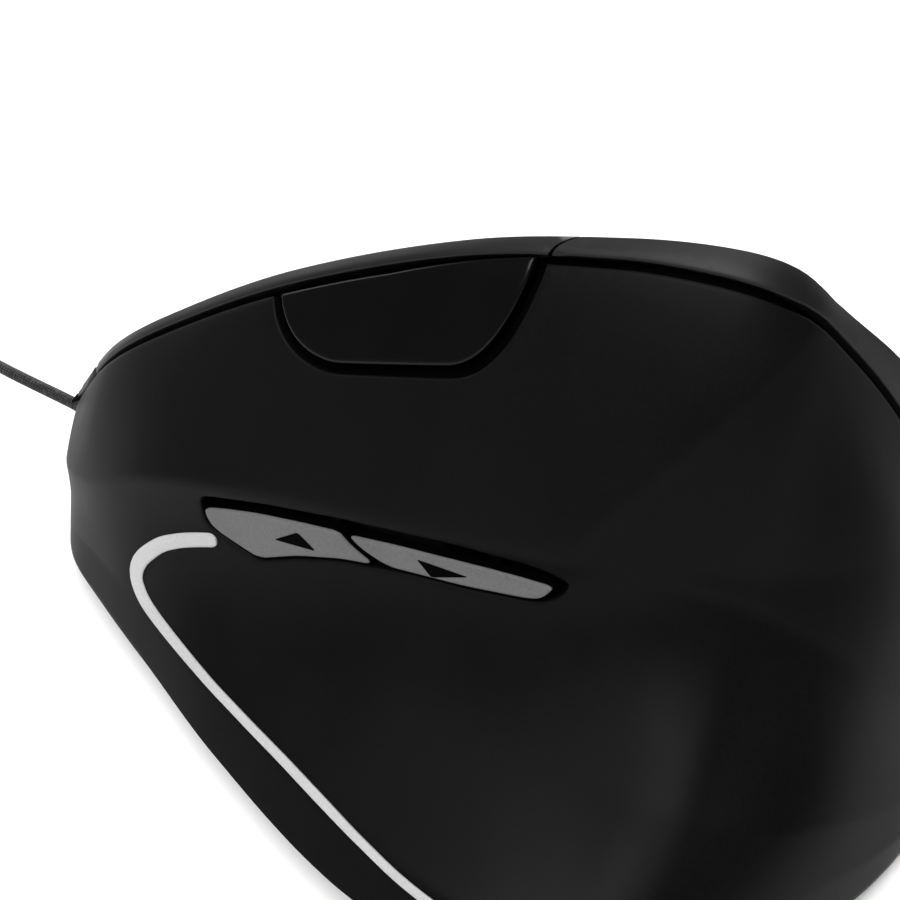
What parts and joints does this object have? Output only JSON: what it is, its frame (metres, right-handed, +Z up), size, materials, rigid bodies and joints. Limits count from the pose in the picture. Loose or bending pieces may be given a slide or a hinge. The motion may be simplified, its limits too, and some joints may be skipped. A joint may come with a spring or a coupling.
{
  "type": "vertical ergonomic mouse",
  "caption": "Wired right-handed vertical computer mouse with a scooped thumb side, tilted finger buttons, scroll wheel, thumb buttons and a coiled cord.",
  "frame": {"origin": "on the desk, under the middle of the mouse without its cord", "axes": "+Y from heel to nose, +X from the thumb side to the finger side, +Z up from the desk"},
  "size_m": [0.0817, 0.296, 0.0669],
  "materials": {
    "cover": "fine matte texture",
    "gloss_cover": "polished",
    "dark_plastic": "matte",
    "inner_plastic": "as moulded",
    "silver_trim": "satin light grey",
    "grey_button": "fine matte texture",
    "glide": "slippery",
    "rubber": "matte",
    "steel": "plated",
    "board": "solder mask",
    "chip": "moulded",
    "lens": "clear",
    "led": "clear red",
    "connector": "moulded",
    "plunger": "moulded",
    "pale_plunger": "moulded",
    "cord": "braided",
    "plug_metal": "plated",
    "contact_block": "moulded"
  },
  "bodies": {
    "base": {"base_plate": "dark_plastic", "front_glide_foot": "glide", "left_glide_foot": "glide", "right_glide_foot": "glide", "base_screws": "steel", "thumb_cover": "cover", "rear_cover": "cover", "finger_rest": "cover", "nose_cap": "cover", "wheel_bezel": "gloss_cover", "accent_strip": "silver_trim", "chassis": "inner_plastic", "main_board": "board", "board_screws": "steel", "optical_sensor": "chip", "sensor_lens": "lens", "sensor_led": "led", "controller_chip": "chip", "capacitor": "chip", "cord_header": "connector", "ribbon_cable": "connector", "button_board": "board", "hinge_pin": "steel", "left_switch": "chip", "right_switch": "chip", "wheel_switch": "chip", "wheel_encoder": "chip", "dpi_switch": "chip", "thumb_board": "board", "forward_switch": "chip", "back_switch": "chip", "cord_grommet": "rubber", "cord": "cord", "cord_coil": "cord", "cord_tail": "cord", "cord_tie": "rubber", "plug_body": "rubber", "plug_shell": "plug_metal", "plug_tongue": "contact_block"},
    "left_button": {"left_button": "cover", "left_button_flap": "gloss_cover", "left_button_arm": "inner_plastic"},
    "right_button": {"right_button": "cover", "right_button_arm": "inner_plastic"},
    "left_plunger": {"left_plunger": "plunger"},
    "right_plunger": {"right_plunger": "plunger"},
    "wheel_carrier": {"wheel_carrier": "inner_plastic"},
    "wheel": {"wheel_hub": "dark_plastic", "wheel_tyre": "rubber", "wheel_axle": "steel"},
    "wheel_plunger": {"wheel_plunger": "pale_plunger"},
    "dpi_button": {"dpi_button": "dark_plastic"},
    "dpi_plunger": {"dpi_plunger": "pale_plunger"},
    "forward_button": {"forward_button": "grey_button"},
    "forward_plunger": {"forward_plunger": "pale_plunger"},
    "back_button": {"back_button": "grey_button"},
    "back_plunger": {"back_plunger": "pale_plunger"}
  },
  "joints": [
    {"name": "left_press", "type": "hinge", "parent": "base", "child": "left_button", "pos_m": [0.01999, -0.00663, 0.03178], "axis": [-0.5592, 0, 0.829], "range_deg": [0, 0.45], "stiffness_Nm_per_rad": 2.4, "springref_deg": -0.69},
    {"name": "right_press", "type": "hinge", "parent": "base", "child": "right_button", "pos_m": [0.01999, -0.00663, 0.03178], "axis": [-0.5592, 0, 0.829], "range_deg": [0, 0.45], "stiffness_Nm_per_rad": 2.4, "springref_deg": -0.69},
    {"name": "left_click", "type": "slide", "parent": "base", "child": "left_plunger", "axis": [-0.7885, -0.309, -0.5318], "range_m": [0, 0.00045]},
    {"name": "right_click", "type": "slide", "parent": "base", "child": "right_plunger", "axis": [-0.7885, -0.309, -0.5318], "range_m": [0, 0.00045]},
    {"name": "wheel_press", "type": "slide", "parent": "base", "child": "wheel_carrier", "axis": [-0.7885, -0.309, -0.5318], "range_m": [0, 0.0005], "stiffness_N_per_m": 2000, "springref_m": -0.0006},
    {"name": "wheel_spin", "type": "hinge", "parent": "wheel_carrier", "child": "wheel", "pos_m": [0.0143, 0.02584, 0.02794], "axis": [0.5592, 0, -0.829], "continuous": true},
    {"name": "wheel_click", "type": "slide", "parent": "base", "child": "wheel_plunger", "axis": [-0.7885, -0.309, -0.5318], "range_m": [0, 0.00055]},
    {"name": "dpi_press", "type": "slide", "parent": "base", "child": "dpi_button", "axis": [-0.7885, -0.309, -0.5318], "range_m": [0, 0.0005], "stiffness_N_per_m": 1500, "springref_m": -0.0005},
    {"name": "dpi_click", "type": "slide", "parent": "base", "child": "dpi_plunger", "axis": [-0.7885, -0.309, -0.5318], "range_m": [0, 0.00055]},
    {"name": "forward_press", "type": "slide", "parent": "base", "child": "forward_button", "axis": [1, 0, 0], "range_m": [0, 0.0006], "stiffness_N_per_m": 1500, "springref_m": -0.0004},
    {"name": "forward_click", "type": "slide", "parent": "base", "child": "forward_plunger", "axis": [1, 0, 0], "range_m": [0, 0.00065]},
    {"name": "back_press", "type": "slide", "parent": "base", "child": "back_button", "axis": [1, 0, 0], "range_m": [0, 0.0006], "stiffness_N_per_m": 1500, "springref_m": -0.0004},
    {"name": "back_click", "type": "slide", "parent": "base", "child": "back_plunger", "axis": [1, 0, 0], "range_m": [0, 0.00065]}
  ],
  "couplings": [
    {"joint": "left_click", "follows": "left_press", "m_per_rad": 0.04},
    {"joint": "right_click", "follows": "right_press", "m_per_rad": 0.04},
    {"joint": "wheel_click", "follows": "wheel_press", "ratio": 1},
    {"joint": "dpi_click", "follows": "dpi_press", "ratio": 1},
    {"joint": "forward_click", "follows": "forward_press", "ratio": 1},
    {"joint": "back_click", "follows": "back_press", "ratio": 1}
  ]
}
